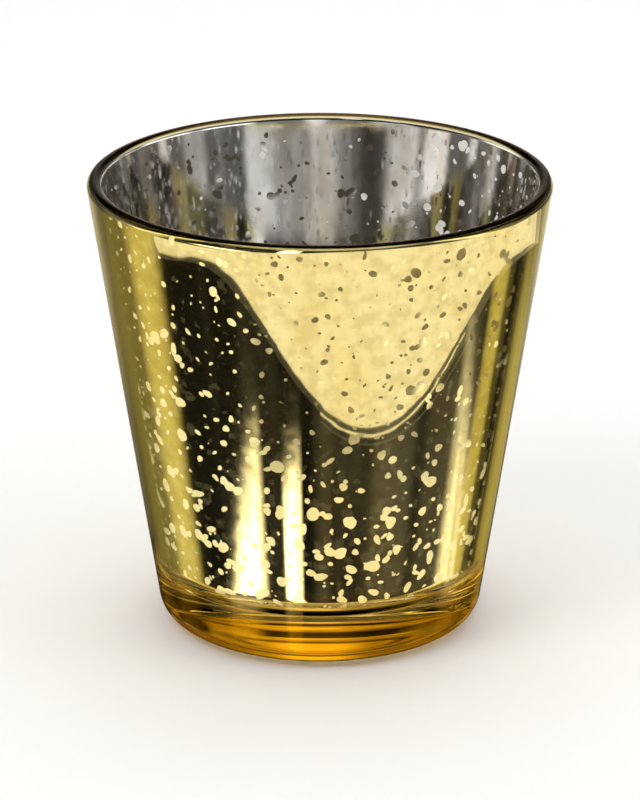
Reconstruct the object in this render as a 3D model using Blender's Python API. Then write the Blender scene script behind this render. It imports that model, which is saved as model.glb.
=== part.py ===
"""A votive candle holder: a tapered glass tumbler, silvered inside and lacquered gold outside,
with a tealight standing on its floor.

Units are metres and +Z is up. The origin is on the table, in the middle of the foot.
"""

import math

import bmesh
import bpy

# The tumbler's driving dimensions
RIM_DIAMETER = 0.0690           # where the wall's outer line meets the rim's plane
BASE_DIAMETER = 0.0476          # where the wall's outer line meets the table
TUMBLER_HEIGHT = 0.0685
WALL_THICKNESS = 0.0021         # square to the wall
FLOOR_THICKNESS = 0.0075        # from the table to the glass floor
HEEL_RADIUS = 0.0040            # rounding between the foot and the wall
INSIDE_CORNER_RADIUS = 0.0036   # rounding between the coated floor and the coated wall
RIM_FLAT = 0.0003               # what the two roundings leave flat on top of the rim
FOOT_RING_WIDTH = 0.0050        # the flat ring that the tumbler stands on
PUSH_UP_HEIGHT = 0.0008         # hollow under the foot, inside the ring
PUSH_UP_SLOPE = 0.0040          # how far the hollow's edge slopes in

# The two coats
COAT_THICKNESS = 0.00025
LINING_TOP_DROP = 0.0010        # from the rim down to the lining's upper edge
LACQUER_TOP_DROP = 0.0010       # from the rim down to the lacquer's upper edge
LACQUER_HEEL_TURN = math.radians(50)    # how far below level the lacquer follows the heel round

# The tealight
TEALIGHT_HEIGHT = 0.0155
SEAT_CLEARANCE = 0.0004         # from the cup's side to where the floor starts to round
CUP_WALL = 0.0004
CUP_CORNER_RADIUS = 0.0010      # inside the cup
CUP_BEAD_OVERHANG = 0.0001      # how far the rolled edge's middle lies outside the wall
WAX_DROP = 0.0020               # from the cup's edge down to the wax
WAX_DISH = 0.0007               # how far the wax sinks towards the wick
WICK_DIAMETER = 0.0016
WICK_LENGTH_OVER_WAX = 0.0085
WICK_LEAN = 0.0012              # how far the free end leans to one side
SUSTAINER_DIAMETER = 0.0130
SUSTAINER_THICKNESS = 0.0004
NECK_HEIGHT = 0.0040
NECK_WALL = 0.0004

# Gap between pieces that touch
FIT_GAP = 0.0003

# Facets
TURN_STEPS = 40
SMALL_TURN_STEPS = 20
CORNER_STEPS = 5
BEAD_STEPS = 7
WICK_STEPS = 12
WICK_BEVEL_STEPS = 2
SMOOTH_ANGLE = math.radians(40)
MERGE_DISTANCE = 1e-6

# Directions in the (radius, height) plane of a profile, as angles from level
DOWN = -math.pi / 2
UP = math.pi / 2
INWARD = math.pi

# The wall's taper, from the two diameters
WALL_SLOPE = (RIM_DIAMETER - BASE_DIAMETER) / 2 / TUMBLER_HEIGHT
WALL_ANGLE = math.atan(WALL_SLOPE)


def outer_wall(height, outset=0.0):
    """Radius of the wall's outer side at a height, moved out square to the wall by outset."""
    return BASE_DIAMETER / 2 + height * WALL_SLOPE + outset / math.cos(WALL_ANGLE)


def inner_wall(height, inset=0.0):
    """Radius of the wall's inner side at a height, moved in square to the wall by inset."""
    return outer_wall(height, -WALL_THICKNESS - inset)


def arc(centre, radius, start, end, steps=CORNER_STEPS):
    """Points on an arc about a (radius, height) centre, both ends included."""
    points = []
    for step in range(steps + 1):
        angle = start + (end - start) * step / steps
        points.append((centre[0] + radius * math.cos(angle), centre[1] + radius * math.sin(angle)))
    return points


def turned(name, profile, material, parent, steps=TURN_STEPS):
    """A closed solid turned about the Z axis from a (radius, height) outline.

    An outline that starts and ends on the axis is closed by the axis. Any other is a ring.
    """
    mesh = bpy.data.meshes.new(name)
    shape = bmesh.new()
    points = [shape.verts.new((radius, 0.0, height)) for radius, height in profile]
    edges = [shape.edges.new(pair) for pair in zip(points, points[1:])]
    if profile[0][0] > 0:
        edges.append(shape.edges.new((points[-1], points[0])))
    bmesh.ops.spin(
        shape, geom=points + edges, cent=(0, 0, 0), axis=(0, 0, 1),
        angle=2 * math.pi, steps=steps, use_merge=True)
    bmesh.ops.remove_doubles(shape, verts=shape.verts, dist=MERGE_DISTANCE)
    bmesh.ops.recalc_face_normals(shape, faces=shape.faces)
    shape.to_mesh(mesh)
    shape.free()
    mesh.shade_smooth()
    mesh.set_sharp_from_angle(angle=SMOOTH_ANGLE)
    return placed(name, mesh, material, parent)


def placed(name, data, material, parent):
    """An object in the scene with its material, carried by its parent empty.

    The data is drawn in the part's own frame, so the object takes off its parent's place.
    """
    thing = bpy.data.objects.new(name, data)
    data.materials.append(material)
    bpy.context.collection.objects.link(thing)
    thing.parent = parent
    thing.matrix_parent_inverse.translation = [-value for value in parent.location]
    return thing


def plain_material(name, colour, roughness, metallic=0.0, transmission=0.0):
    """A material with one finish all over."""
    material = bpy.data.materials.new(name)
    material.use_nodes = True
    shader = material.node_tree.nodes["Principled BSDF"]
    shader.inputs["Base Color"].default_value = (*colour, 1.0)
    shader.inputs["Roughness"].default_value = roughness
    shader.inputs["Metallic"].default_value = metallic
    shader.inputs["Transmission Weight"].default_value = transmission
    return material


def carrier(name, height):
    """An empty on the holder's axis that carries the pieces of one body."""
    empty = bpy.data.objects.new(name, None)
    empty.location = (0.0, 0.0, height)
    bpy.context.collection.objects.link(empty)
    return empty


def corner_centre(wall, floor, radius):
    """Centre of the rounding that touches both a floor and a sloping wall."""
    height = floor + radius
    return wall(height) - radius / math.cos(WALL_ANGLE), height


def inside_corner(inset):
    """The rounding between floor and wall, for a surface that lies inset from the bare glass.

    All of these roundings share the coated surface's centre.
    """
    radius = INSIDE_CORNER_RADIUS + LINING_STACK - inset
    return arc(SEAT_CENTRE, radius, -WALL_ANGLE, DOWN)


# The coated surface that the tealight stands on
LINING_STACK = FIT_GAP + COAT_THICKNESS
SEAT_FLOOR = FLOOR_THICKNESS + LINING_STACK
SEAT_CENTRE = corner_centre(
    lambda height: inner_wall(height, LINING_STACK), SEAT_FLOOR, INSIDE_CORNER_RADIUS)
SEAT_RADIUS = SEAT_CENTRE[0]

# The foot's rounding
HEEL_CENTRE = corner_centre(outer_wall, 0.0, HEEL_RADIUS)

# The tealight's own levels and radii
TEALIGHT_RADIUS = SEAT_RADIUS - SEAT_CLEARANCE
TEALIGHT_BOTTOM = SEAT_FLOOR + FIT_GAP
TEALIGHT_TOP = TEALIGHT_BOTTOM + TEALIGHT_HEIGHT
CUP_FLOOR = TEALIGHT_BOTTOM + CUP_WALL
CUP_INNER_RADIUS = TEALIGHT_RADIUS - CUP_WALL
WAX_LEVEL = TEALIGHT_TOP - WAX_DROP
SUSTAINER_BOTTOM = CUP_FLOOR + FIT_GAP
SUSTAINER_TOP = SUSTAINER_BOTTOM + SUSTAINER_THICKNESS
NECK_TOP = SUSTAINER_TOP + NECK_HEIGHT
WICK_BORE_RADIUS = WICK_DIAMETER / 2 + FIT_GAP
NECK_RADIUS = WICK_BORE_RADIUS + NECK_WALL


def make_glass_tumbler(parent):
    glass = plain_material("clear_glass", (0.96, 0.97, 0.95), 0.03, transmission=1.0)
    # The two rim roundings fill the rim's top but for a narrow flat
    rim_radius = (WALL_THICKNESS - RIM_FLAT) / 2
    rim_middle = TUMBLER_HEIGHT - rim_radius
    outer_rim = (outer_wall(rim_middle, -rim_radius), rim_middle)
    inner_rim = (inner_wall(rim_middle, -rim_radius), rim_middle)
    foot_edge = HEEL_CENTRE[0] - FOOT_RING_WIDTH
    profile = [(0.0, PUSH_UP_HEIGHT), (foot_edge - PUSH_UP_SLOPE, PUSH_UP_HEIGHT), (foot_edge, 0.0)]
    profile += arc(HEEL_CENTRE, HEEL_RADIUS, DOWN, -WALL_ANGLE)
    profile += arc(outer_rim, rim_radius, -WALL_ANGLE, UP)
    profile += arc(inner_rim, rim_radius, UP, INWARD - WALL_ANGLE)
    profile += inside_corner(0.0)
    profile.append((0.0, FLOOR_THICKNESS))
    return turned("glass_tumbler", profile, glass, parent)


def make_silver_lining(parent):
    silver = plain_material("mirror_silver", (0.78, 0.76, 0.72), 0.12, metallic=1.0)
    top = TUMBLER_HEIGHT - LINING_TOP_DROP
    # Up the side that faces the candle, over the edge, and back down the side on the glass
    profile = [(0.0, SEAT_FLOOR)]
    profile += reversed(inside_corner(LINING_STACK))
    profile += [(inner_wall(top, LINING_STACK), top), (inner_wall(top, FIT_GAP), top)]
    profile += inside_corner(FIT_GAP)
    profile.append((0.0, FLOOR_THICKNESS + FIT_GAP))
    return turned("silver_lining", profile, silver, parent)


def make_gold_lacquer(parent):
    gold = plain_material("gold_lacquer", (0.90, 0.70, 0.25), 0.08, transmission=0.6)
    near = FIT_GAP
    far = FIT_GAP + COAT_THICKNESS
    top = TUMBLER_HEIGHT - LACQUER_TOP_DROP
    # The coat follows the heel part of the way round, so that it stays clear of the table
    profile = arc(HEEL_CENTRE, HEEL_RADIUS + far, -LACQUER_HEEL_TURN, -WALL_ANGLE)
    profile += [(outer_wall(top, far), top), (outer_wall(top, near), top)]
    profile += arc(HEEL_CENTRE, HEEL_RADIUS + near, -WALL_ANGLE, -LACQUER_HEEL_TURN)
    return turned("gold_lacquer", profile, gold, parent)


def make_tealight_cup(parent):
    aluminium = plain_material("tealight_aluminium", (0.80, 0.81, 0.82), 0.30, metallic=1.0)
    corner = (CUP_INNER_RADIUS - CUP_CORNER_RADIUS, CUP_FLOOR + CUP_CORNER_RADIUS)
    # The bead stands on the wall's outer side and ends on top of its inner side
    bead_radius = CUP_WALL + CUP_BEAD_OVERHANG
    bead = (CUP_INNER_RADIUS + bead_radius, TEALIGHT_TOP - bead_radius)
    wall_side = -math.acos(-CUP_BEAD_OVERHANG / bead_radius)
    profile = [(0.0, TEALIGHT_BOTTOM)]
    profile += arc(corner, CUP_CORNER_RADIUS + CUP_WALL, DOWN, 0.0)
    profile += arc(bead, bead_radius, wall_side, INWARD, BEAD_STEPS)
    profile += arc(corner, CUP_CORNER_RADIUS, 0.0, DOWN)
    profile.append((0.0, CUP_FLOOR))
    return turned("tealight_cup", profile, aluminium, parent)


def make_candle_wax(parent):
    wax = plain_material("candle_wax", (0.93, 0.91, 0.86), 0.45)
    radius = CUP_INNER_RADIUS - FIT_GAP
    bottom = CUP_FLOOR + FIT_GAP
    corner = (radius - CUP_CORNER_RADIUS, bottom + CUP_CORNER_RADIUS)
    hollow = SUSTAINER_DIAMETER / 2 + FIT_GAP
    profile = arc(corner, CUP_CORNER_RADIUS, DOWN, 0.0)
    # The top dishes towards the wick on a cosine
    for step in range(CORNER_STEPS + 1):
        share = step / CORNER_STEPS
        depth = WAX_DISH * (1 - math.cos(math.pi * share)) / 2
        profile.append((radius + (WICK_BORE_RADIUS - radius) * share, WAX_LEVEL - depth))
    # The bore, and the room for the neck and the disc below it
    profile += [
        (WICK_BORE_RADIUS, NECK_TOP + FIT_GAP),
        (NECK_RADIUS + FIT_GAP, NECK_TOP + FIT_GAP),
        (NECK_RADIUS + FIT_GAP, SUSTAINER_TOP + FIT_GAP),
        (hollow, SUSTAINER_TOP + FIT_GAP),
        (hollow, bottom),
    ]
    return turned("candle_wax", profile, wax, parent)


def make_wick_sustainer(parent):
    tin = plain_material("sustainer_tin", (0.70, 0.70, 0.69), 0.35, metallic=1.0)
    profile = [
        (WICK_BORE_RADIUS, SUSTAINER_BOTTOM),
        (SUSTAINER_DIAMETER / 2, SUSTAINER_BOTTOM),
        (SUSTAINER_DIAMETER / 2, SUSTAINER_TOP),
        (NECK_RADIUS, SUSTAINER_TOP),
        (NECK_RADIUS, NECK_TOP),
        (WICK_BORE_RADIUS, NECK_TOP),
    ]
    return turned("wick_sustainer", profile, tin, parent, SMALL_TURN_STEPS)


def make_wick(parent):
    cotton = plain_material("wick_cotton", (0.88, 0.85, 0.78), 0.90)
    path = bpy.data.curves.new("wick", "CURVE")
    path.dimensions = "3D"
    path.bevel_depth = WICK_DIAMETER / 2
    path.bevel_resolution = WICK_BEVEL_STEPS
    path.use_fill_caps = True
    spline = path.splines.new("POLY")
    spline.points.add(WICK_STEPS + 1)
    surface = WAX_LEVEL - WAX_DISH
    spline.points[0].co = (0.0, 0.0, SUSTAINER_BOTTOM, 1.0)
    # Straight in the wax, then leaning ever more towards its free end
    for step in range(WICK_STEPS + 1):
        share = step / WICK_STEPS
        height = surface + WICK_LENGTH_OVER_WAX * share
        spline.points[step + 1].co = (WICK_LEAN * share ** 2, 0.0, height, 1.0)
    return placed("wick", path, cotton, parent)


def main():
    for thing in list(bpy.data.objects):
        bpy.data.objects.remove(thing, do_unlink=True)
    holder = carrier("holder_frame", 0.0)
    make_glass_tumbler(holder)
    make_silver_lining(holder)
    make_gold_lacquer(holder)
    # The tealight lifts along the holder's axis, on which its empty stands
    tealight = carrier("tealight_lift_axis", TEALIGHT_BOTTOM)
    make_tealight_cup(tealight)
    make_candle_wax(tealight)
    make_wick_sustainer(tealight)
    make_wick(tealight)


main()
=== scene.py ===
"""The looks of a votive candle holder: a clear glass tumbler with a speckled mirror lining inside,
a translucent gold coat outside and a tealight on its floor. Metres, +Z up, camera on the -Y side.
"""

import math
import random

import bmesh
import bpy
import numpy as np
from mathutils import Matrix, Vector
from mathutils.geometry import delaunay_2d_cdt


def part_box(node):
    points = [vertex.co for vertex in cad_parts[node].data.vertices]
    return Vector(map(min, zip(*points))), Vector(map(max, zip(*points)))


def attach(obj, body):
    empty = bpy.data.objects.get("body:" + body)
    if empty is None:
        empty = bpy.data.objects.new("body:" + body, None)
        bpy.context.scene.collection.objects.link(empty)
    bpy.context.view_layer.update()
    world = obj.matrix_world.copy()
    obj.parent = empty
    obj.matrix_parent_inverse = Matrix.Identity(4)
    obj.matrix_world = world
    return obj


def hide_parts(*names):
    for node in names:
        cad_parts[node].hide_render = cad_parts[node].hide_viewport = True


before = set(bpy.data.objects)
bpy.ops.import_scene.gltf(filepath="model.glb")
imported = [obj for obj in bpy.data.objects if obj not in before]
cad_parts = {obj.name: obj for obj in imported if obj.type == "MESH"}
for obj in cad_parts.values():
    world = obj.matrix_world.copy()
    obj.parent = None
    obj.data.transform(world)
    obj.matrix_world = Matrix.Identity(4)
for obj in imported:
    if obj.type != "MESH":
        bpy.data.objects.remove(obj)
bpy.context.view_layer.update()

# The tumbler's sizes: its height from the frame, the rest as in the part
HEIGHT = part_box("glass_tumbler")[1].z
RIM_DIAMETER = 0.0690
BASE_DIAMETER = 0.0476
WALL_THICKNESS = 0.0021
FLOOR_THICKNESS = 0.0075
HEEL_RADIUS = 0.0040
INSIDE_CORNER_RADIUS = 0.00415
RIM_FLAT = 0.0002
FOOT_RING_WIDTH = 0.0050
PUSH_UP_HEIGHT = 0.0008
PUSH_UP_SLOPE = 0.0040
WALL_SLOPE = (RIM_DIAMETER - BASE_DIAMETER) / 2 / HEIGHT
WALL_ANGLE = math.atan(WALL_SLOPE)

# The two coats, thin and close to the glass
COAT_GAP = 0.00003
COAT_THICKNESS = 0.00006
LINING_RIM_TURN = math.radians(20)      # how far the lining follows the rim's inner rounding
LACQUER_HEEL_TURN = math.radians(72)    # how far the lacquer follows the heel
LACQUER_RIM_TURN = math.radians(45)     # how far it runs down the rim's inner rounding
AMBER_TOP = 0.0060                      # below this height the lacquer is amber
GOLD_BOTTOM = 0.0115                    # above this height it is gold
PAINTED_RIM_SHADE_BOTTOM = HEIGHT - 0.00026          # from here to the next height the rim is painted brown: painted shade
PAINTED_RIM_SHADE_TOP = HEIGHT - 0.00008

# The flecks, where the silver is only a pale mist. Their colour is painted light towards the floor and
# painted shade towards the rim on one side
FLECK_SEED = 11
FLECK_COUNT = 1250
FLECK_SPACING = 0.0018                  # least distance between two flecks' middles
FLECK_EDGE = 0.0012                     # kept clear along the lining's upper and lower edges
FLECK_SEAM = 0.0002                     # kept clear along the seam at the back
FLECK_THINNING = 0.95                   # share of the flecks that the rim has of those at the floor
FLECK_SIZE_LOW = 0.00072                # usual radius at the floor
FLECK_SIZE_HIGH = 0.00042               # usual radius at the rim
FLECK_SIZE_MOST = 0.00110
FLECK_SIZE_RANGE = (0.15, 0.75)         # shares of the lining's length between which the size falls
FLECK_SIZE_BIAS = -0.1                  # below 0, most are a little smaller than usual
FLECK_SIZE_SPREAD = 0.45                # how much the sizes differ
FLECK_POINTS = 12
SMALL_FLECK = 0.0004                    # smaller ones have fewer points
SMALL_FLECK_POINTS = 9
SPECK_COUNT = 600                       # fine specks between the flecks
SPECK_SIZES = (0.00014, 0.00030)
SPECK_POINTS = 7
CHAIN_SIZE = 0.00065                    # flecks above this radius may be chains of blobs
CHAIN_PARTS = (1, 1, 2, 2, 3)
CHAIN_STRIDE = 1.35                     # from blob to blob, in radii
CHAIN_BEND = 0.8                        # usual change of a chain's heading at each blob, in radians
CHAIN_SHRINK = (0.55, 0.85)
BLOB_SQUEEZE = (0.50, 1.0)              # a blob's breadth as a share of its length
BLOB_WAVES = (2, 3, 5)                  # crests of the three waves on its outline
BLOB_DEPTH = 0.36                       # a wave's greatest depth times its crests, in radii
PAINTED_LIGHT_TOP = 0.022                        # below this height all flecks are painted pale: painted light
PAINTED_SHADE_BOTTOM = 0.048                     # above this height they are painted dull on one side of the cup: painted shade

# The lining's mesh
LINING_COLUMNS = 144
LINING_ROW = 0.0024                     # from row to row of points on the wall
CORNER_ROW = 0.0008                     # on the rounding at the floor
EDGE_ROW = 0.00015                      # on the rim's rounding

# The tealight's sizes, with heights and radii from the frame
cup_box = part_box("tealight_cup")
wax_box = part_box("candle_wax")
wick_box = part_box("wick")
sustainer_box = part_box("wick_sustainer")
TEALIGHT_STEPS = 160
CUP_RADIUS = wax_box[1].x + 0.0007
CUP_WALL = 0.0002
CUP_LIP = 0.0005
CUP_LIP_CURL = -0.62 * math.pi          # where the curled lip starts on its round
CUP_CORNER = 0.0014
CUP_FLOOR_RISE = 0.0003                 # the floor's middle stands a little higher than its edge
CUP_RISE_START = 0.76 * CUP_RADIUS
CUP_RISE_END = 0.72 * CUP_RADIUS
WAX_RADIUS = wax_box[1].x + 0.0002
WAX_BOTTOM = wax_box[0].z + 0.0003
WAX_STEPS = 24
WAX_DISH = 0.0007                       # how much lower the wax is in the middle
WAX_CREEP = 0.0005                      # how far the wax climbs the cup's wall
WAX_CREEP_REACH = 0.0010
WAX_MOUND = 0.0006                      # how far it climbs the wick
WAX_MOUND_REACH = 0.0012
WICK_BORE = 0.0011
WICK_TOP = wick_box[1].z - 0.0003
WICK_LEAN = 0.0012
WICK_STEPS = 90
STRANDS = 3
STRAND_RADIUS = 0.00042
STRAND_ORBIT = 0.00040
STRAND_PITCH = 0.0034
STRAND_CLOSING = 0.35                   # how much the strands close up at the cut end
STRAND_SIDES = 10
DISC_THICKNESS = 0.0004
DISC_EDGE = 0.0002
NECK_RADIUS = WICK_BORE + 0.0004
NECK_EDGE = 0.0001
NECK_FLARE = [(0.0010, 0.0), (0.0003, 0.0002), (0.0, 0.0008)]     # out from the neck, up from the disc
SUSTAINER_STEPS = 64

# Facets and angles
TURN_STEPS = 240
ARC_STEPS = 14
FINE_ARC_STEPS = 8
LIP_STEPS = 12
WALL_STEPS = 12
WALL_END_STEP = 0.00015                 # from the end of a wall to its next point
SHARP = math.radians(50)                # edges above this angle aren't shaded smooth
SAME_PLACE = 1e-7                       # points closer than this are one point
SAME_TURN = 1e-6                        # the same for turns, in radians
MAP_TOLERANCE = 1e-8                    # the same for the lining's flat map
FULL_TURN = 2 * math.pi
DOWN = -math.pi / 2
UP = math.pi / 2
INWARD = math.pi


def outer_wall(height, outset=0.0):
    """Radius of the glass wall's outer side at a height, moved out square to the wall."""
    return BASE_DIAMETER / 2 + height * WALL_SLOPE + outset / math.cos(WALL_ANGLE)


def inner_wall(height, inset=0.0):
    """Radius of the glass wall's inner side at a height, moved in square to the wall."""
    return outer_wall(height, -WALL_THICKNESS - inset)


def arc(centre, radius, start, end, steps=ARC_STEPS):
    """Points on an arc about a (radius, height) centre, both ends included."""
    points = []
    for step in range(steps + 1):
        angle = start + (end - start) * step / steps
        points.append((centre[0] + radius * math.cos(angle), centre[1] + radius * math.sin(angle)))
    return points


def line(start, end, steps=WALL_STEPS):
    """Points on a straight line, without its two ends.

    One point is close to each end, so that the shading of a rounding there doesn't run up the wall.
    """
    close = WALL_END_STEP / math.dist(start, end)
    points = []
    for share in [close, *(step / steps for step in range(1, steps)), 1 - close]:
        points.append((start[0] + (end[0] - start[0]) * share, start[1] + (end[1] - start[1]) * share))
    return points


def corner_centre(wall, floor, radius):
    """Centre of the rounding that touches both a floor and the sloping wall."""
    height = floor + radius
    return wall(height) - radius / math.cos(WALL_ANGLE), height


HEEL_CENTRE = corner_centre(outer_wall, 0.0, HEEL_RADIUS)
CORNER_CENTRE = corner_centre(inner_wall, FLOOR_THICKNESS, INSIDE_CORNER_RADIUS)
RIM_RADIUS = (WALL_THICKNESS - RIM_FLAT) / 2
RIM_MIDDLE = HEIGHT - RIM_RADIUS
OUTER_RIM = (outer_wall(RIM_MIDDLE, -RIM_RADIUS), RIM_MIDDLE)
INNER_RIM = (inner_wall(RIM_MIDDLE, -RIM_RADIUS), RIM_MIDDLE)


# Meshes

def linked(name, mesh, *materials):
    """A new object in the scene with its materials."""
    thing = bpy.data.objects.new(name, mesh)
    for material in materials:
        mesh.materials.append(material)
    bpy.context.collection.objects.link(thing)
    return thing


def mesh_of(name, shape):
    """A smooth mesh made of a finished bmesh, with its faces pointing out."""
    bmesh.ops.recalc_face_normals(shape, faces=shape.faces)
    mesh = bpy.data.meshes.new(name)
    shape.to_mesh(mesh)
    shape.free()
    mesh.shade_smooth()
    mesh.set_sharp_from_angle(angle=SHARP)
    return mesh


def turned(name, profile, steps=TURN_STEPS):
    """A closed mesh turned about Z from a (radius, height) outline.

    An outline that starts on the axis also ends there. Any other is a ring and closes on itself.
    """
    shape = bmesh.new()
    points = [shape.verts.new((radius, 0.0, height)) for radius, height in profile]
    edges = [shape.edges.new(pair) for pair in zip(points, points[1:])]
    if profile[0][0] > 0:
        edges.append(shape.edges.new((points[-1], points[0])))
    bmesh.ops.spin(
        shape, geom=points + edges, cent=(0, 0, 0), axis=(0, 0, 1),
        angle=FULL_TURN, steps=steps, use_merge=True)
    bmesh.ops.remove_doubles(shape, verts=shape.verts, dist=SAME_PLACE)
    return mesh_of(name, shape)


# Material nodes. The owner of the nodes is a material or the world.

def finish(name, settings):
    """A Principled material with the given socket values."""
    material = bpy.data.materials.new(name)
    material.use_nodes = True
    for socket, value in settings.items():
        material.node_tree.nodes["Principled BSDF"].inputs[socket].default_value = value
    return material


def plug(material, socket, value):
    """Lead a value into one of the shader's sockets."""
    shader = material.node_tree.nodes["Principled BSDF"]
    material.node_tree.links.new(value, shader.inputs[socket])


def object_place(material):
    """The object's own coordinates, in metres."""
    return material.node_tree.nodes.new("ShaderNodeTexCoord").outputs["Object"]


def coordinate(owner, vector, axis):
    """One coordinate of a vector. Z of an object's place is the height above the table."""
    split = owner.node_tree.nodes.new("ShaderNodeSeparateXYZ")
    owner.node_tree.links.new(vector, split.inputs[0])
    return split.outputs[axis]


def noise_at(owner, vector, scale, detail):
    """A noise from 0 to 1. Scale is in features per unit of the vector."""
    texture = owner.node_tree.nodes.new("ShaderNodeTexNoise")
    texture.inputs["Scale"].default_value = scale
    texture.inputs["Detail"].default_value = detail
    owner.node_tree.links.new(vector, texture.inputs["Vector"])
    return texture.outputs["Fac"]


def noise(material, scale, detail=2.0, stretch=(1.0, 1.0, 1.0)):
    """A noise on the object. Scale is in features per metre, times stretch along an axis."""
    mapping = material.node_tree.nodes.new("ShaderNodeMapping")
    mapping.inputs["Scale"].default_value = stretch
    material.node_tree.links.new(object_place(material), mapping.inputs["Vector"])
    return noise_at(material, mapping.outputs["Vector"], scale, detail)


def ramp(material, value, stops):
    """Colours over a value. Stops are (place, colour) pairs."""
    node = material.node_tree.nodes.new("ShaderNodeValToRGB")
    node.color_ramp.interpolation = "EASE"
    for element, (place, colour) in zip(node.color_ramp.elements, stops):
        element.position = place
        element.color = (*colour, 1.0)
    material.node_tree.links.new(value, node.inputs["Fac"])
    return node.outputs["Color"]


def spread(owner, value, low, high, to_low=0.0, to_high=1.0):
    """A value brought from one range to another, smoothly."""
    node = owner.node_tree.nodes.new("ShaderNodeMapRange")
    node.interpolation_type = "SMOOTHSTEP"
    node.inputs["From Min"].default_value = low
    node.inputs["From Max"].default_value = high
    node.inputs["To Min"].default_value = to_low
    node.inputs["To Max"].default_value = to_high
    owner.node_tree.links.new(value, node.inputs["Value"])
    return node.outputs["Result"]


def blended(material, share, first, second, how="MIX"):
    """Two colours mixed by a share. Each is a colour or an output."""
    node = material.node_tree.nodes.new("ShaderNodeMix")
    node.data_type = "RGBA"
    node.blend_type = how
    for index, colour in ((6, first), (7, second)):
        if isinstance(colour, tuple):
            node.inputs[index].default_value = (*colour, 1.0)
        else:
            material.node_tree.links.new(colour, node.inputs[index])
    material.node_tree.links.new(share, node.inputs[0])
    return node.outputs[2]


def relief(material, value, depth):
    """A bump of the given depth in metres."""
    node = material.node_tree.nodes.new("ShaderNodeBump")
    node.inputs["Strength"].default_value = 1.0
    node.inputs["Distance"].default_value = depth
    material.node_tree.links.new(value, node.inputs["Height"])
    return node.outputs["Normal"]


# The materials

def glass_finish():
    glass = finish("tumbler_clear_glass", {
        "Base Color": (0.985, 0.990, 0.978, 1.0),
        "Roughness": 0.0,
        "IOR": 1.5,
        "Transmission Weight": 1.0,
    })
    # Pressed glass is a little wavy
    plug(glass, "Normal", relief(glass, noise(glass, 70.0, 1.0), 0.00002))
    return glass


def mirror_finish():
    silver = finish("lining_mirror_side", {"Metallic": 1.0, "Roughness": 0.03})
    tarnish = noise(silver, 480.0, 4.0)
    plug(silver, "Base Color", ramp(silver, tarnish, [
        (0.38, (0.97, 0.965, 0.95)), (0.68, (0.82, 0.78, 0.68))]))
    plug(silver, "Normal", relief(silver, noise(silver, 120.0, 2.0), 0.00002))
    return silver


def lining_inside_finish():
    silver = finish("lining_candle_side", {"Metallic": 1.0})
    streaks = noise(silver, 90.0, 3.0, (1.0, 1.0, 0.15))
    plug(silver, "Base Color", ramp(silver, streaks, [
        (0.32, (0.55, 0.50, 0.43)), (0.66, (0.88, 0.88, 0.87))]))
    plug(silver, "Roughness", spread(silver, noise(silver, 300.0, 2.0), 0.3, 0.7, 0.04, 0.10))
    plug(silver, "Normal", relief(silver, noise(silver, 150.0, 2.0), 0.00003))
    return silver


def fleck_finish(name, pale, painted_dark, painted_shade_from, painted_shade_full):
    """Pale towards the floor as painted light, as if the inside of the cup shone through, and dull towards
    the rim on one side of the cup as painted shade.

    That side starts between the two places along X. The duller flecks differ from one to the next.
    """
    mist = finish(name, {"Roughness": 0.5})
    place = object_place(mist)
    shade = spread(mist, noise(mist, 230.0, 0.0), 0.50, 0.75)
    mixed = blended(mist, shade, painted_dark, pale)
    # Painted shade on one side of the cup along X, and painted light below a height
    side = spread(mist, coordinate(mist, place, "X"), painted_shade_from, painted_shade_full)
    level = spread(mist, coordinate(mist, place, "Z"), PAINTED_LIGHT_TOP, PAINTED_SHADE_BOTTOM)
    plug(mist, "Base Color", blended(mist, level, pale, blended(mist, side, pale, mixed)))
    return mist


# The dull colour and the two places along X set the painted shade. The pale colour low down is painted light
def fleck_mirror_side_finish():
    return fleck_finish("fleck_mirror_side", (0.95, 0.97, 0.99), (0.14, 0.12, 0.08), -0.012, -0.006)


def fleck_candle_side_finish():
    return fleck_finish("fleck_candle_side", (0.90, 0.88, 0.82), (0.08, 0.06, 0.04), 0.018, 0.010)


def lacquer_finish():
    gold = finish("gold_lacquer_coat", {
        "Roughness": 0.0,
        "IOR": 1.04,
        "Transmission Weight": 1.0,
    })
    # The lacquer runs thicker and more amber towards the foot, and the rim's top is painted brown as painted
    # shade
    height = coordinate(gold, object_place(gold), "Z")
    golden = spread(gold, height, AMBER_TOP, GOLD_BOTTOM)
    body = blended(gold, golden, (0.87, 0.56, 0.06), (1.0, 0.91, 0.61))
    # Painted shade: dark brown painted on the top of the rim
    body = blended(gold, spread(gold, height, PAINTED_RIM_SHADE_BOTTOM, PAINTED_RIM_SHADE_TOP), body, (0.23, 0.165, 0.085))
    runs = spread(gold, noise(gold, 110.0, 2.0, (1.0, 1.0, 0.25)), 0.35, 0.7)
    plug(gold, "Base Color", blended(gold, runs, body, (0.99, 0.965, 0.90), "MULTIPLY"))
    plug(gold, "Normal", relief(gold, noise(gold, 90.0, 1.0), 0.00001))
    return gold


def aluminium_finish():
    metal = finish("tealight_drawn_foil", {"Metallic": 1.0})
    lines = noise(metal, 900.0, 2.0, (1.0, 1.0, 0.05))
    plug(metal, "Base Color", ramp(metal, lines, [
        (0.30, (0.56, 0.57, 0.58)), (0.70, (0.74, 0.75, 0.76))]))
    plug(metal, "Roughness", spread(metal, lines, 0.3, 0.7, 0.22, 0.36))
    plug(metal, "Normal", relief(metal, noise(metal, 160.0, 2.0), 0.00004))
    return metal


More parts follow.
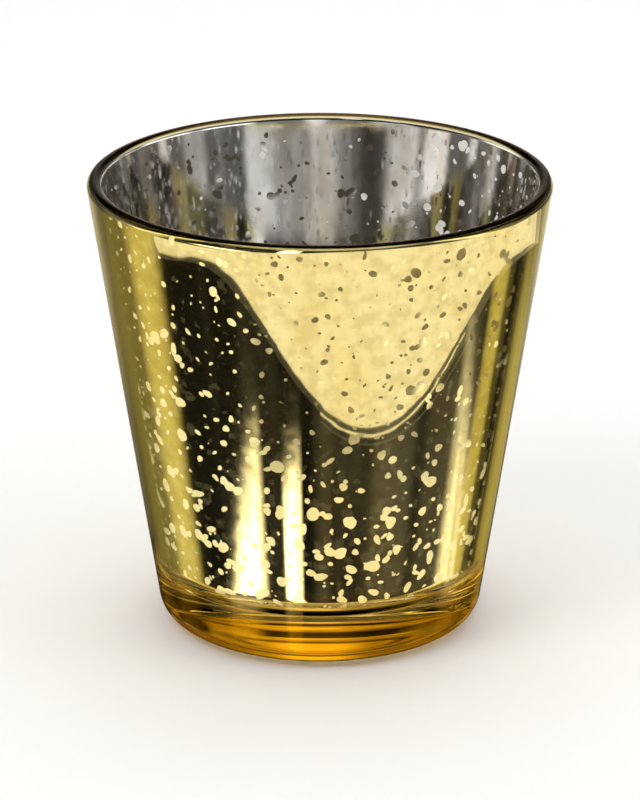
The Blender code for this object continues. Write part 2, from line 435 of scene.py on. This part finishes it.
def wax_finish():
    wax = finish("tealight_paraffin", {
        "Subsurface Weight": 0.35,
        "Subsurface Radius": (0.0035, 0.0030, 0.0022),
        "Subsurface Scale": 1.0,
    })
    cloud = noise(wax, 180.0, 4.0)
    plug(wax, "Base Color", ramp(wax, cloud, [
        (0.30, (0.74, 0.71, 0.63)), (0.75, (0.82, 0.80, 0.74))]))
    plug(wax, "Roughness", spread(wax, cloud, 0.3, 0.7, 0.34, 0.50))
    plug(wax, "Normal", relief(wax, noise(wax, 420.0, 3.0), 0.00006))
    return wax


def cotton_finish():
    cotton = finish("wick_waxed_cotton", {"Sheen Weight": 0.2})
    fibres = noise(cotton, 2600.0, 2.0, (1.0, 1.0, 0.3))
    plug(cotton, "Base Color", ramp(cotton, fibres, [
        (0.30, (0.80, 0.76, 0.66)), (0.70, (0.93, 0.91, 0.85))]))
    plug(cotton, "Roughness", spread(cotton, fibres, 0.3, 0.7, 0.65, 0.9))
    plug(cotton, "Normal", relief(cotton, fibres, 0.00005))
    return cotton


def tin_finish():
    tin = finish("sustainer_tinned_steel", {"Metallic": 1.0})
    brushed = noise(tin, 1400.0, 2.0)
    plug(tin, "Base Color", ramp(tin, brushed, [
        (0.30, (0.62, 0.62, 0.61)), (0.70, (0.74, 0.74, 0.73))]))
    plug(tin, "Roughness", spread(tin, brushed, 0.3, 0.7, 0.28, 0.42))
    return tin


# The glass and the lacquer on it

def make_tumbler():
    foot_edge = HEEL_CENTRE[0] - FOOT_RING_WIDTH
    profile = [(0.0, PUSH_UP_HEIGHT), (foot_edge - PUSH_UP_SLOPE, PUSH_UP_HEIGHT), (foot_edge, 0.0)]
    profile += arc(HEEL_CENTRE, HEEL_RADIUS, DOWN, -WALL_ANGLE)
    rim = arc(OUTER_RIM, RIM_RADIUS, -WALL_ANGLE, UP)
    profile += line(profile[-1], rim[0]) + rim
    profile += arc(INNER_RIM, RIM_RADIUS, UP, INWARD - WALL_ANGLE)
    corner = arc(CORNER_CENTRE, INSIDE_CORNER_RADIUS, -WALL_ANGLE, DOWN)
    profile += line(profile[-1], corner[0]) + corner
    profile.append((0.0, FLOOR_THICKNESS))
    return linked("tumbler_glass", turned("tumbler_glass", profile), glass_finish())


def lacquer_side(outset):
    """One side of the lacquer, from the heel up the wall and over the rim."""
    heel = arc(HEEL_CENTRE, HEEL_RADIUS + outset, -LACQUER_HEEL_TURN, -WALL_ANGLE)
    rim = arc(OUTER_RIM, RIM_RADIUS + outset, -WALL_ANGLE, UP)
    rim += arc(INNER_RIM, RIM_RADIUS + outset, UP, UP + LACQUER_RIM_TURN)
    return heel + line(heel[-1], rim[0]) + rim


def make_lacquer():
    profile = lacquer_side(COAT_GAP + COAT_THICKNESS)
    profile += reversed(lacquer_side(COAT_GAP))
    return linked("gold_coat", turned("gold_coat", profile), lacquer_finish())


# The lining's profile: a rounding at the floor, the straight wall, and a part of the rim's rounding
CORNER_ARC_RADIUS = INSIDE_CORNER_RADIUS - COAT_GAP
RIM_ARC_RADIUS = RIM_RADIUS + COAT_GAP
CORNER_LENGTH = CORNER_ARC_RADIUS * (UP - WALL_ANGLE)
WALL_START = CORNER_CENTRE[1] - CORNER_ARC_RADIUS * math.sin(WALL_ANGLE)
WALL_END = INNER_RIM[1] + RIM_ARC_RADIUS * math.sin(WALL_ANGLE)
WALL_LENGTH = (WALL_END - WALL_START) / math.cos(WALL_ANGLE)
EDGE_LENGTH = RIM_ARC_RADIUS * LINING_RIM_TURN
LINING_LENGTH = CORNER_LENGTH + WALL_LENGTH + EDGE_LENGTH


def lining_place(along):
    """Where a length up the lining's profile, from the edge of its flat floor, lies.

    Gives the radius and the height, and the direction that faces the glass there.
    """
    over = along - CORNER_LENGTH - WALL_LENGTH
    if over > 0:
        turn = INWARD - WALL_ANGLE - over / RIM_ARC_RADIUS
        facing = (-math.cos(turn), -math.sin(turn))
        radius = INNER_RIM[0] - RIM_ARC_RADIUS * facing[0]
        height = INNER_RIM[1] - RIM_ARC_RADIUS * facing[1]
        return radius, height, facing
    turn = DOWN + min(along, CORNER_LENGTH) / CORNER_ARC_RADIUS
    facing = (math.cos(turn), math.sin(turn))
    straight = max(along - CORNER_LENGTH, 0.0)
    radius = CORNER_CENTRE[0] + CORNER_ARC_RADIUS * facing[0] + straight * math.sin(WALL_ANGLE)
    height = CORNER_CENTRE[1] + CORNER_ARC_RADIUS * facing[1] + straight * math.cos(WALL_ANGLE)
    return radius, height, facing


def lining_rows():
    """Lengths up the profile at which the lining has a row of points."""
    stretches = [(CORNER_LENGTH, CORNER_ROW), (WALL_LENGTH, LINING_ROW), (EDGE_LENGTH, EDGE_ROW)]
    rows = [0.0]
    for length, stride in stretches:
        count = max(2, round(length / stride))
        rows += [rows[-1] + length * row / count for row in range(1, count + 1)]
    return rows


def blob(dice, middle, size, points):
    """An uneven round outline about a (turn, along) middle, as (turn, along) points."""
    radius = lining_place(middle[1])[0]
    lean = dice.uniform(0.0, math.pi)
    squeeze = dice.uniform(*BLOB_SQUEEZE)
    waves = [
        (count, dice.uniform(0.0, BLOB_DEPTH / count), dice.uniform(0.0, FULL_TURN))
        for count in BLOB_WAVES]
    outline = []
    for step in range(points):
        angle = FULL_TURN * step / points
        reach = size * (1 + sum(depth * math.cos(count * angle + shift) for count, depth, shift in waves))
        across = reach * math.cos(angle)
        up = reach * math.sin(angle) * squeeze
        sideways = across * math.cos(lean) - up * math.sin(lean)
        upward = across * math.sin(lean) + up * math.cos(lean)
        outline.append((middle[0] + sideways / radius, middle[1] + upward))
    return outline


def fleck_middles(dice):
    """Where the flecks are, as (turn, along): fewer towards the rim, and nowhere crowded."""
    middles = []
    while len(middles) < FLECK_COUNT:
        turn = dice.uniform(0.0, FULL_TURN)
        along = dice.uniform(FLECK_EDGE, LINING_LENGTH - FLECK_EDGE)
        if dice.random() < (1 - FLECK_THINNING) * along / LINING_LENGTH:
            continue
        radius = lining_place(along)[0]
        distances = (math.hypot((turn - other) * radius, along - level) for other, level in middles)
        if all(distance > FLECK_SPACING for distance in distances):
            middles.append((turn, along))
    return middles


def fleck_size(dice, along):
    """A fleck's radius: large towards the floor, small towards the rim."""
    start, end = FLECK_SIZE_RANGE
    share = min(1.0, max(0.0, (along / LINING_LENGTH - start) / (end - start)))
    usual = FLECK_SIZE_LOW + (FLECK_SIZE_HIGH - FLECK_SIZE_LOW) * share
    return min(FLECK_SIZE_MOST, usual * math.exp(dice.gauss(FLECK_SIZE_BIAS, FLECK_SIZE_SPREAD)))


def fleck(dice, turn, along):
    """Outlines of one fleck. A large one is often a short chain of blobs that run into each other."""
    size = fleck_size(dice, along)
    parts = dice.choice(CHAIN_PARTS) if size > CHAIN_SIZE else 1
    heading = dice.uniform(0.0, FULL_TURN)
    points = SMALL_FLECK_POINTS if size < SMALL_FLECK else FLECK_POINTS
    outlines = []
    for _ in range(parts):
        outlines.append(blob(dice, (turn, along), size, points))
        heading += dice.gauss(0.0, CHAIN_BEND)
        turn += CHAIN_STRIDE * size * math.cos(heading) / lining_place(along)[0]
        along += CHAIN_STRIDE * size * math.sin(heading)
        size *= dice.uniform(*CHAIN_SHRINK)
    return outlines


def fleck_outlines():
    """Outlines of all flecks and specks, clear of the seam at the back and of both edges."""
    dice = random.Random(FLECK_SEED)
    outlines = []
    for turn, along in fleck_middles(dice):
        outlines += fleck(dice, turn, along)
    for _ in range(SPECK_COUNT):
        middle = (dice.uniform(0.0, FULL_TURN), dice.uniform(FLECK_EDGE, LINING_LENGTH - FLECK_EDGE))
        outlines.append(blob(dice, middle, dice.uniform(*SPECK_SIZES), SPECK_POINTS))
    low = FLECK_EDGE / 2
    high = LINING_LENGTH - FLECK_EDGE / 2
    seam = FLECK_SEAM / CORNER_CENTRE[0]

    def inside(point):
        return seam < point[0] < FULL_TURN - seam and low < point[1] < high
    return [outline for outline in outlines if all(inside(point) for point in outline)]


def lining_map():
    """The lining's wall as a flat map: (turn, along) points, triangles, and which are flecks."""
    rows = lining_rows()
    # The map is drawn in metres, about as wide as the wall is round
    width = FULL_TURN * lining_place(LINING_LENGTH / 2)[0]
    points = []
    for along in rows:
        for column in range(LINING_COLUMNS + 1):
            points.append(Vector((width * column / LINING_COLUMNS, along)))
    stride = LINING_COLUMNS + 1
    last = (len(rows) - 1) * stride
    border = list(range(stride))
    border += [row * stride + LINING_COLUMNS for row in range(1, len(rows))]
    border += list(range(last + LINING_COLUMNS - 1, last - 1, -1))
    border += [row * stride for row in range(len(rows) - 2, 0, -1)]
    outlines = [border]
    for outline in fleck_outlines():
        start = len(points)
        points += [Vector((width * turn / FULL_TURN, along)) for turn, along in outline]
        outlines.append(list(range(start, start + len(outline))))
    # Each triangle lists the outlines that it is in: the border, and on a fleck another one
    places, _, triangles, _, _, origins = delaunay_2d_cdt(points, [], outlines, 0, MAP_TOLERANCE, True)
    flecked = [len(origin) > 1 for origin in origins]
    flat = [(FULL_TURN * place.x / width, place.y) for place in places]
    return flat, seamed(flat, triangles), flecked


def seamed(flat, triangles):
    """The map's triangles with the two sides of its seam brought together."""
    first_side = {}
    twin = {}
    for index, (turn, along) in enumerate(flat):
        if turn < SAME_TURN:
            first_side[round(along, 7)] = index
    for index, (turn, along) in enumerate(flat):
        if turn > FULL_TURN - SAME_TURN:
            twin[index] = first_side[round(along, 7)]
    return [[twin.get(index, index) for index in triangle] for triangle in triangles]


def lining_surface():
    """The lining's side towards the glass: places, the directions they face, triangles, flecks."""
    flat, triangles, flecked = lining_map()
    used = sorted({index for triangle in triangles for index in triangle})
    renumber = {index: number for number, index in enumerate(used)}
    triangles = [[renumber[index] for index in triangle] for triangle in triangles]
    places, facings = [], []
    foot = {}
    for index in used:
        turn, along = flat[index]
        radius, height, facing = lining_place(along)
        # The seam is at the back
        angle = turn + UP
        places.append((radius * math.cos(angle), radius * math.sin(angle), height))
        facings.append((facing[0] * math.cos(angle), facing[0] * math.sin(angle), facing[1]))
        if along < SAME_PLACE:
            foot[turn] = renumber[index]
    # The flat floor closes the ring at the wall's foot
    ring = [foot[turn] for turn in sorted(foot)]
    centre = len(places)
    places.append((0.0, 0.0, places[ring[0]][2]))
    facings.append((0.0, 0.0, -1.0))
    for number, here in enumerate(ring):
        triangles.append([centre, ring[(number + 1) % len(ring)], here])
        flecked.append(False)
    return np.array(places), np.array(facings), triangles, flecked


def make_lining():
    """The mirror lining: a thin closed shell whose flecks have their own faces."""
    outer, facing, triangles, flecked = lining_surface()
    inner = outer - COAT_THICKNESS * facing
    count = len(outer)
    inside = [[index + count for index in reversed(triangle)] for triangle in triangles]
    sides = {(triangle[step], triangle[(step + 1) % 3]) for triangle in triangles for step in range(3)}
    walls = [
        [end, start, start + count, end + count]
        for start, end in sorted(sides) if (end, start) not in sides]
    mesh = bpy.data.meshes.new("mirror_lining")
    mesh.from_pydata(np.vstack([outer, inner]).tolist(), [], triangles + inside + walls)
    # Every point keeps the true direction of the wall, so that the mirror is even
    both = np.vstack([facing, -facing])
    directions = []
    for polygon in mesh.polygons:
        polygon.use_smooth = True
        if polygon.index >= 2 * len(triangles):
            directions += [tuple(polygon.normal)] * 4
        else:
            directions += [tuple(both[index]) for index in polygon.vertices]
            side, number = divmod(polygon.index, len(triangles))
            polygon.material_index = 2 + side if flecked[number] else side
    mesh.normals_split_custom_set(directions)
    return linked(
        "mirror_lining", mesh, mirror_finish(), lining_inside_finish(),
        fleck_mirror_side_finish(), fleck_candle_side_finish())


# The tealight's pieces

def make_tealight_cup():
    bottom = cup_box[0].z
    corner = (CUP_RADIUS - CUP_CORNER, bottom + CUP_CORNER)
    lip = (CUP_RADIUS + CUP_LIP - CUP_WALL, cup_box[1].z - CUP_LIP)
    floor = bottom + CUP_FLOOR_RISE
    profile = [(0.0, floor), (CUP_RISE_END, floor), (CUP_RISE_START, bottom)]
    profile += arc(corner, CUP_CORNER, DOWN, 0.0, FINE_ARC_STEPS)
    profile += arc(lip, CUP_LIP, CUP_LIP_CURL, INWARD, LIP_STEPS)
    profile += arc(corner, CUP_CORNER - CUP_WALL, 0.0, DOWN, FINE_ARC_STEPS)
    profile += [(CUP_RISE_START, bottom + CUP_WALL), (CUP_RISE_END, floor + CUP_WALL)]
    profile.append((0.0, floor + CUP_WALL))
    mesh = turned("tealight_foil_cup", profile, TEALIGHT_STEPS)
    return linked("tealight_foil_cup", mesh, aluminium_finish())


def make_wax():
    level = wax_box[1].z
    profile = [
        (WICK_BORE, WAX_BOTTOM), (WAX_RADIUS - CUP_CORNER, WAX_BOTTOM),
        (WAX_RADIUS, WAX_BOTTOM + CUP_CORNER)]
    for step in range(WAX_STEPS + 1):
        share = step / WAX_STEPS
        here = WAX_RADIUS + (WICK_BORE - WAX_RADIUS) * share
        dish = WAX_DISH * (1 - math.cos(math.pi * share)) / 2
        creep = WAX_CREEP * math.exp(-(WAX_RADIUS - here) / WAX_CREEP_REACH)
        mound = WAX_MOUND * math.exp(-(here - WICK_BORE) / WAX_MOUND_REACH)
        profile.append((here, level - dish + creep + mound))
    return linked("wax_fill", turned("wax_fill", profile, TEALIGHT_STEPS), wax_finish())


def make_sustainer():
    bottom = sustainer_box[0].z
    top = sustainer_box[1].z
    edge = sustainer_box[1].x
    disc_top = bottom + DISC_THICKNESS
    profile = [
        (WICK_BORE, bottom), (edge - DISC_EDGE, bottom), (edge, bottom + DISC_EDGE),
        (edge - DISC_EDGE, disc_top)]
    profile += [(NECK_RADIUS + out, disc_top + up) for out, up in NECK_FLARE]
    profile += [(NECK_RADIUS, top - NECK_EDGE), (WICK_BORE + NECK_EDGE, top), (WICK_BORE, top - NECK_EDGE)]
    return linked("sustainer_disc", turned("sustainer_disc", profile, SUSTAINER_STEPS), tin_finish())


def add_tube(shape, points, radius, sides):
    """A closed tube along a line of points, added to a bmesh."""
    angles = [FULL_TURN * side / sides for side in range(sides)]
    rings = []
    for number, point in enumerate(points):
        ahead = points[min(number + 1, len(points) - 1)]
        behind = points[max(number - 1, 0)]
        heading = (ahead - behind).normalized()
        across = heading.cross(Vector((0.0, 1.0, 0.0))).normalized()
        up = across.cross(heading)
        rings.append([
            shape.verts.new(point + radius * (math.cos(angle) * across + math.sin(angle) * up))
            for angle in angles])
    for ring, above in zip(rings, rings[1:]):
        for side in range(sides):
            beside = (side + 1) % sides
            shape.faces.new((ring[side], ring[beside], above[beside], above[side]))
    shape.faces.new(rings[0])
    shape.faces.new(rings[-1])


def make_wick():
    """Three twisted cotton strands, upright in the wax and leaning at the free end."""
    bottom = wick_box[0].z
    bend = wax_box[1].z - WAX_DISH
    shape = bmesh.new()
    for strand in range(STRANDS):
        points = []
        for step in range(WICK_STEPS + 1):
            height = bottom + (WICK_TOP - bottom) * step / WICK_STEPS
            share = max(0.0, (height - bend) / (WICK_TOP - bend))
            angle = FULL_TURN * (strand / STRANDS + (height - bottom) / STRAND_PITCH)
            orbit = STRAND_ORBIT * (1 - STRAND_CLOSING * share ** 6)
            lean = WICK_LEAN * share ** 2
            points.append(Vector((lean + orbit * math.cos(angle), orbit * math.sin(angle), height)))
        add_tube(shape, points, STRAND_RADIUS, STRAND_SIDES)
    return linked("wick_braid", mesh_of("wick_braid", shape), cotton_finish())


PIECES = [
    (make_tumbler, "holder", "glass_tumbler", "clear_glass"),
    (make_lining, "holder", "silver_lining", "mirror_silver"),
    (make_lacquer, "holder", "gold_lacquer", "gold_lacquer"),
    (make_tealight_cup, "tealight", "tealight_cup", "tealight_aluminium"),
    (make_wax, "tealight", "candle_wax", "candle_wax"),
    (make_sustainer, "tealight", "wick_sustainer", "sustainer_tin"),
    (make_wick, "tealight", "wick", "wick_cotton"),
]
for make, body, node, slot in PIECES:
    piece = make()
    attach(piece, body)
    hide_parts(node)


# The stage: a pale floor, and studio cards that only reflections and glass show

FLOOR_DROP = 0.0004                     # the floor lies this far below the foot
FLOOR_REACH = 6.0
CARD_DROP = 0.0002                      # the oval card lies above the floor
CARD_RADII = (0.1118, 0.1457)
CARD_CENTRE = (-0.0037, 0.0305)
CARD_TURN = math.radians(-56.9)
CARD_WAVES = 4                          # the oval is a little squarish
CARD_WAVE = 0.034                       # share by which its radius varies
CARD_WAVE_START = math.radians(223)
CARD_STEPS = 160
CARD_LINE_INSET = 0.0017                # from the card's edge to the pale line
CARD_LINE_WIDTH = 0.0008
CARD_LINE_TURN = math.radians(26)       # the pale line runs this far to both sides of its middle
REAR_CARD_DROP = 0.0003                 # the second card lies between the two
REAR_CARD_REACH = 0.6
REAR_CARD_SPLIT = -0.03                 # left of this place along X it comes further to the front
REAR_CARD_FRONT_RIGHT = 0.13            # its front edge along Y, right of the split
REAR_CARD_CORNER = (-0.150, -0.015)     # middle of the rounding where its front meets the oval card
REAR_CARD_ROUNDING = 0.015


def make_floor():
    paint = finish("pale_floor", {"Base Color": (0.88, 0.88, 0.875, 1.0), "Roughness": 0.9})
    signs = [(-1, -1), (1, -1), (1, 1), (-1, 1)]
    mesh = bpy.data.meshes.new("floor")
    mesh.from_pydata([(x * FLOOR_REACH, y * FLOOR_REACH, -FLOOR_DROP) for x, y in signs], [], [(0, 1, 2, 3)])
    linked("floor", mesh, paint)


def card_ring(inset):
    """Points along the oval card's edge, moved in from it."""
    ring = []
    for step in range(CARD_STEPS):
        angle = FULL_TURN * step / CARD_STEPS
        swell = 1 + CARD_WAVE * math.cos(CARD_WAVES * angle + CARD_WAVE_START)
        across = (CARD_RADII[0] * swell - inset) * math.cos(angle)
        along = (CARD_RADII[1] * swell - inset) * math.sin(angle)
        place = Vector((across, along))
        place.rotate(Matrix.Rotation(CARD_TURN, 2))
        ring.append((place.x + CARD_CENTRE[0], place.y + CARD_CENTRE[1], -CARD_DROP))
    return ring


def rear_card_outline():
    """The second card: its front edge runs in from the left, rounds into the oval card and steps back."""
    outline = [(-REAR_CARD_REACH, REAR_CARD_CORNER[1] + REAR_CARD_ROUNDING)]
    outline += arc(REAR_CARD_CORNER, REAR_CARD_ROUNDING, UP, 0.0)
    outline += [(REAR_CARD_SPLIT, REAR_CARD_CORNER[1]), (REAR_CARD_SPLIT, REAR_CARD_FRONT_RIGHT)]
    outline += [(REAR_CARD_REACH, REAR_CARD_FRONT_RIGHT), (REAR_CARD_REACH, REAR_CARD_REACH)]
    outline.append((-REAR_CARD_REACH, REAR_CARD_REACH))
    return outline


def make_card():
    """A dark glossy oval card with a short pale line, and a second card behind the object."""
    gloss = finish("studio_card", {
        "Base Color": (0.80, 0.80, 0.80, 1.0), "Metallic": 1.0, "Roughness": 0.03})
    pale = finish("studio_card_line", {"Base Color": (0.90, 0.90, 0.90, 1.0), "Roughness": 0.8})
    places, faces, fills = [], [], []
    for inset in (0.0, CARD_LINE_INSET, CARD_LINE_INSET + CARD_LINE_WIDTH):
        places += card_ring(inset)
    for ring in range(2):
        for step in range(CARD_STEPS):
            here = ring * CARD_STEPS + step
            beside = ring * CARD_STEPS + (step + 1) % CARD_STEPS
            faces.append((here, beside, beside + CARD_STEPS, here + CARD_STEPS))
            turn = math.remainder(FULL_TURN * step / CARD_STEPS, FULL_TURN)
            fills.append(1 if ring == 1 and abs(turn) < CARD_LINE_TURN else 0)
    faces.append(tuple(range(2 * CARD_STEPS, 3 * CARD_STEPS)))
    rear = [(*corner, -REAR_CARD_DROP) for corner in rear_card_outline()]
    faces.append(tuple(range(len(places), len(places) + len(rear))))
    fills += [0, 0]
    places += rear
    mesh = bpy.data.meshes.new("studio_card")
    mesh.from_pydata(places, [], faces)
    mesh.polygons.foreach_set("material_index", fills)
    card = linked("studio_card", mesh, gloss, pale)
    card.visible_camera = False
    card.visible_diffuse = False
    card.visible_shadow = False


# The lamps light matt surfaces, and don't show in reflections: name, place, size, power
LAMPS = [
    ("key_lamp", (-0.75, -0.70, 1.15), 0.7, 4.0),
    ("fill_lamp", (0.90, -0.30, 0.90), 0.7, 1.6),
    ("top_lamp", (0.10, 0.50, 1.30), 0.9, 2.2),
]


def aim(thing, target):
    thing.rotation_mode = "QUATERNION"
    thing.rotation_quaternion = (Vector(target) - thing.location).to_track_quat("-Z", "Y")


def make_lamp(name, place, size, power):
    light = bpy.data.lights.new(name, "AREA")
    light.shape = "DISK"
    light.size = size
    light.energy = power
    lamp = bpy.data.objects.new(name, light)
    lamp.location = place
    bpy.context.collection.objects.link(lamp)
    aim(lamp, (0.0, 0.0, HEIGHT / 2))
    lamp.visible_glossy = False
    lamp.visible_transmission = False
    lamp.visible_camera = False


# The studio that reflections and glass show. Elevations are in degrees.
HORIZON_EDGE = (10.0, 23.0)             # the horizon's light fades between these elevations
HORIZON_LIGHT = (1.15, 0.06)            # its strength below and above them
HORIZON_BREAKS = (0.20, 1.60)           # least and most that the light varies along the horizon
HORIZON_NOISE = (1.7, 1.5)              # scale and detail of the breaks
HORIZON_NOISE_RANGE = (0.42, 0.60)
CEILING_EDGE = (58.0, 72.0)
CEILING_LIGHT = 0.85
EVEN_LIGHT = 0.90                       # what matt surfaces get
GLASS_LIGHT = 5.20                      # what they get behind glass, where the lamps don't reach

# Bright upright panels of the studio, some of them warm. In degrees: azimuth from the camera's side
# towards +X, half width, and the elevations of the lower and upper edge. Last the strength.
WHITE_PANELS = [
    (-19.5, 8.0, 38.4, 60.0, 6.8),
    (-60.0, 22.0, 36.9, 41.5, 4.6),
    (35.0, 45.0, 36.0, 45.0, 0.04),
    (106.0, 13.0, 30.4, 60.0, 1.50),
    (185.0, 28.0, 30.0, 60.0, 0.9),
    (188.0, 60.0, 12.0, 20.5, 0.60),
    (232.0, 13.0, 34.0, 60.0, 1.5),
]
WARM_PANELS = [
    (-112.0, 17.0, 22.0, 60.0, 0.78),
    (-142.0, 20.0, 22.0, 60.0, 0.24),
    (119.0, 9.0, 22.0, 60.0, 0.75),
    (155.0, 13.0, 22.0, 60.0, 0.60),
]
WARM = (1.0, 0.92, 0.35)
PANEL_LOWER_BLUR = 0.6                  # degrees to both sides of a panel's lower edge
PANEL_UPPER_BLUR = 2.0                  # and of its upper edge
PANEL_PATCHES = (0.60, 1.30)            # least and most that a white panel's light varies
PATCH_STRETCH = (1.0, 1.0, 6.0)
PATCH_NOISE = (6.0, 1.0)                # scale and detail of the patches
PATCH_NOISE_RANGE = (0.35, 0.65)


def sine(degrees):
    return math.sin(math.radians(degrees))


def compute(world, how, first, second):
    """One Math node. Each value is a number or an output."""
    node = world.node_tree.nodes.new("ShaderNodeMath")
    node.operation = how
    for socket, value in zip(node.inputs, (first, second)):
        if isinstance(value, float):
            socket.default_value = value
        else:
            world.node_tree.links.new(value, socket)
    return node.outputs[0]


def vector_step(world, how, vector, constant):
    """One Vector Math node on an output and a constant vector."""
    node = world.node_tree.nodes.new("ShaderNodeVectorMath")
    node.operation = how
    node.inputs[1].default_value = constant
    world.node_tree.links.new(vector, node.inputs[0])
    return node.outputs["Value" if how == "DOT_PRODUCT" else "Vector"]


def panel_light(world, heading, rise, rows):
    """The light of some panels over a level heading and a rise, which is an elevation's sine."""
    total = 0.0
    for azimuth, half_width, lower_edge, upper_edge, strength in rows:
        turn = math.radians(azimuth)
        closeness = vector_step(world, "DOT_PRODUCT", heading, (math.sin(turn), -math.cos(turn), 0.0))
        across = spread(world, closeness, math.cos(math.radians(half_width)), 1.0, 0.0, strength)
        lower = spread(world, rise, sine(lower_edge - PANEL_LOWER_BLUR), sine(lower_edge + PANEL_LOWER_BLUR))
        upper = spread(
            world, rise, sine(upper_edge - PANEL_UPPER_BLUR), sine(upper_edge + PANEL_UPPER_BLUR), 1.0, 0.0)
        shape = compute(world, "MULTIPLY", across, compute(world, "MULTIPLY", lower, upper))
        total = compute(world, "ADD", total, shape)
    return total


def studio_light(world):
    """The studio's white light and its warm light."""
    direction = world.node_tree.nodes.new("ShaderNodeTexCoord").outputs["Generated"]
    rise = coordinate(world, direction, "Z")
    level = vector_step(world, "MULTIPLY", direction, (1.0, 1.0, 0.0))
    heading = vector_step(world, "NORMALIZE", level, (0.0, 0.0, 0.0))
    # A bright but broken horizon, a dark belt above it and a bright ceiling
    breaks = noise_at(world, heading, *HORIZON_NOISE)
    breaks = spread(world, breaks, *HORIZON_NOISE_RANGE, *HORIZON_BREAKS)
    horizon = spread(world, rise, sine(HORIZON_EDGE[0]), sine(HORIZON_EDGE[1]), *HORIZON_LIGHT)
    horizon = compute(world, "MULTIPLY", horizon, breaks)
    ceiling = spread(world, rise, sine(CEILING_EDGE[0]), sine(CEILING_EDGE[1]), 0.0, CEILING_LIGHT)
    # The white panels are patchy from below upwards
    tall = vector_step(world, "MULTIPLY", direction, PATCH_STRETCH)
    patches = noise_at(world, tall, *PATCH_NOISE)
    patches = spread(world, patches, *PATCH_NOISE_RANGE, *PANEL_PATCHES)
    white = compute(world, "MULTIPLY", panel_light(world, heading, rise, WHITE_PANELS), patches)
    white = compute(world, "ADD", white, compute(world, "ADD", horizon, ceiling))
    return white, panel_light(world, heading, rise, WARM_PANELS)


def make_world():
    """Reflections and glass show the studio, matt surfaces get an even light, the camera sees white."""
    world = bpy.data.worlds.new("studio")
    bpy.context.scene.world = world
    world.use_nodes = True
    nodes = world.node_tree.nodes
    links = world.node_tree.links
    nodes.clear()
    white, warm = studio_light(world)
    path = nodes.new("ShaderNodeLightPath").outputs
    shown = compute(world, "MAXIMUM", path["Is Glossy Ray"], path["Is Transmission Ray"])
    # The studio shows only until the light's path meets a matt surface
    shown = compute(world, "MULTIPLY", shown, compute(world, "LESS_THAN", path["Diffuse Depth"], 0.5))
    even = compute(world, "MULTIPLY", path["Is Transmission Ray"], GLASS_LIGHT - EVEN_LIGHT)
    even = compute(world, "ADD", even, EVEN_LIGHT)
    even = compute(world, "ADD", compute(world, "MULTIPLY", path["Is Camera Ray"], 1.0 - EVEN_LIGHT), even)
    hidden = compute(world, "SUBTRACT", 1.0, shown)
    white = compute(world, "MULTIPLY", shown, white)
    white = compute(world, "ADD", white, compute(world, "MULTIPLY", hidden, even))
    warm = compute(world, "MULTIPLY", shown, warm)
    sky = nodes.new("ShaderNodeAddShader")
    for socket, strength, colour in zip(sky.inputs, (white, warm), ((1.0, 1.0, 1.0), WARM)):
        background = nodes.new("ShaderNodeBackground")
        background.inputs["Color"].default_value = (*colour, 1.0)
        links.new(strength, background.inputs["Strength"])
        links.new(background.outputs[0], socket)
    output = nodes.new("ShaderNodeOutputWorld")
    links.new(sky.outputs[0], output.inputs["Surface"])


# The camera stands where the photograph was taken from
CAMERA_AWAY = 0.650
CAMERA_HEIGHT = 0.268
CAMERA_TARGET = (0.0, 0.0, 0.0335)
CAMERA_LENS = 207.0                     # millimetres, on a frame 36 mm wide
CAMERA_FRAME = 36.0
CAMERA_NEAR = 0.01                      # nothing closer is shown


def make_camera():
    lens = bpy.data.cameras.new("photo_camera")
    lens.lens = CAMERA_LENS
    lens.sensor_width = CAMERA_FRAME
    lens.clip_start = CAMERA_NEAR
    camera = bpy.data.objects.new("photo_camera", lens)
    camera.location = (0.0, -CAMERA_AWAY, CAMERA_HEIGHT)
    bpy.context.collection.objects.link(camera)
    aim(camera, CAMERA_TARGET)
    bpy.context.scene.camera = camera


make_camera()
make_floor()
make_card()
make_world()
for lamp in LAMPS:
    make_lamp(*lamp)

# Light passes many faces of the thin clear shells
LIGHT_BOUNCES = 24
GLOSSY_BOUNCES = 12
settings = bpy.context.scene
settings.view_settings.view_transform = "Standard"
settings.cycles.max_bounces = LIGHT_BOUNCES
settings.cycles.transmission_bounces = LIGHT_BOUNCES
settings.cycles.glossy_bounces = GLOSSY_BOUNCES
